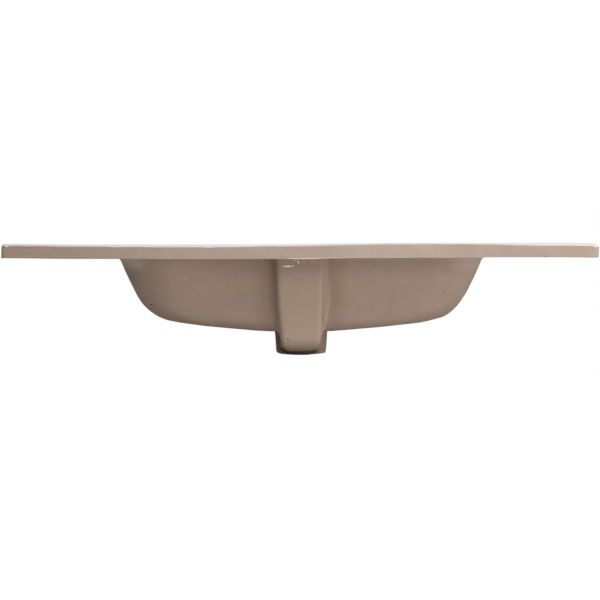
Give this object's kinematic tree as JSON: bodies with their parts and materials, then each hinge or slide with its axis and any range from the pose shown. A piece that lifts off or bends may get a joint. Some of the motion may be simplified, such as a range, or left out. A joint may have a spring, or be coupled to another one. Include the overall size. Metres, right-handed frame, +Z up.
{
  "type": "countertop basin",
  "caption": "Ceramic vanity-top basin: flat rectangular deck with a wide drafted bowl, rear overflow channel, round drain boss and a central tap hole",
  "frame": {"origin": "Middle of the deck's outline on the plane that rests on the cabinet (the deck's underside).", "axes": "+X along the deck, +Y to the wall, so the user stands at -Y, and +Z up."},
  "size_m": [0.91, 0.465, 0.186],
  "materials": {
    "bisque": "matte",
    "glaze": "gloss",
    "chrome": "polished",
    "rubber": "matte"
  },
  "bodies": {
    "root": {"deck": "bisque", "deck_glaze": "glaze", "bowl": "bisque", "bowl_glaze": "glaze", "drain_boss": "bisque", "overflow_channel": "bisque", "overflow_ring": "chrome", "overflow_sleeve": "rubber"}
  },
  "joints": []
}
